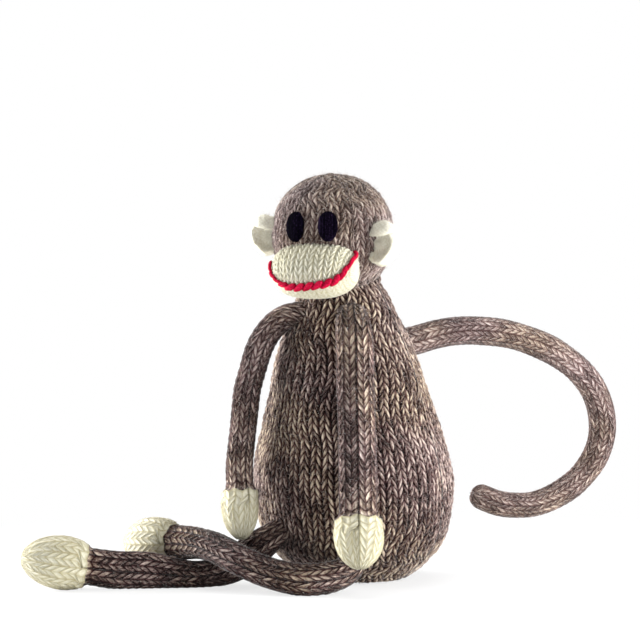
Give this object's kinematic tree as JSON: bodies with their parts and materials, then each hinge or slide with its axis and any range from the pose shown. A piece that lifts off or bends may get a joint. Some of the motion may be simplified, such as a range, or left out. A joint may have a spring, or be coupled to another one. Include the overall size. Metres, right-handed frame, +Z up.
{
  "type": "sock monkey doll",
  "caption": "Hand-knitted stuffed monkey doll in heathered brown wool that sits with crossed legs, with cream hands, feet, muzzle and ears, a red stitched mouth and a curled tail.",
  "frame": {"origin": "middle of the flat seat that the doll sits on", "axes": "the doll faces -Y, its own left side is at +X, and +Z is up through the body to the head"},
  "size_m": [0.1987, 0.2763, 0.2005],
  "materials": {
    "brown_yarn": "heathered grey-brown wool, knitted, fuzzy",
    "cream_yarn": "cream wool, knitted, fuzzy",
    "red_yarn": "crimson yarn, stitched",
    "dark_yarn": "near-black satin-stitched yarn",
    "stuffing": "white polyester fibre",
    "wire_steel": "soft steel wire"
  },
  "bodies": {
    "torso": {"body_knit": "brown_yarn", "body_stuffing": "stuffing"},
    "neck": {"neck_gather_yarn": "brown_yarn"},
    "head": {"head_knit": "brown_yarn", "head_stuffing": "stuffing", "crown_closing_yarn": "brown_yarn", "muzzle_knit": "cream_yarn", "muzzle_stuffing": "stuffing", "mouth_stitching": "red_yarn", "eye_right": "dark_yarn", "eye_left": "dark_yarn", "ear_right": "cream_yarn", "ear_left": "cream_yarn"},
    "right_arm": {"arm_right": "brown_yarn", "hand_right": "cream_yarn", "arm_right_stuffing": "stuffing"},
    "left_arm": {"arm_left": "brown_yarn", "hand_left": "cream_yarn", "arm_left_stuffing": "stuffing"},
    "right_leg": {"leg_right": "brown_yarn", "foot_right": "cream_yarn", "leg_right_stuffing": "stuffing"},
    "left_leg": {"leg_left": "brown_yarn", "foot_left": "cream_yarn", "leg_left_stuffing": "stuffing"},
    "tail": {"tail_knit": "brown_yarn", "tail_stuffing": "stuffing", "tail_wire": "wire_steel"}
  },
  "joints": [
    {"name": "head_turn", "type": "hinge", "parent": "torso", "child": "neck", "pos_m": [-0.00147, -0.0116, 0.14586], "axis": [-0.0052, -0.3507, 0.9365], "range_deg": [-35, 35]},
    {"name": "head_nod", "type": "hinge", "parent": "neck", "child": "head", "pos_m": [-0.0016, -0.0206, 0.1699], "axis": [-0.9866, -0.1633, 0], "range_deg": [0, 15]},
    {"name": "right_arm_raise", "type": "hinge", "parent": "torso", "child": "right_arm", "pos_m": [-0.01504, -0.04057, 0.12931], "axis": [-0.9135, 0.4067, 0], "range_deg": [0, 90]},
    {"name": "left_arm_raise", "type": "hinge", "parent": "torso", "child": "left_arm", "pos_m": [0.01978, -0.0363, 0.12931], "axis": [-0.788, -0.6157, 0], "range_deg": [0, 90]},
    {"name": "right_leg_drop", "type": "hinge", "parent": "torso", "child": "right_leg", "pos_m": [-0.02137, -0.05097, 0.02419], "axis": [-0.9205, 0.3907, 0], "range_deg": [-40, 0]},
    {"name": "left_leg_swing", "type": "hinge", "parent": "torso", "child": "left_leg", "pos_m": [0.02193, -0.04355, 0.01105], "axis": [0, 0.4384, 0.8988], "range_deg": [0, 45]},
    {"name": "tail_swing", "type": "hinge", "parent": "torso", "child": "tail", "pos_m": [-0.00101, 0.03361, 0.11625], "axis": [0, 0, 1], "range_deg": [-40, 30]}
  ]
}
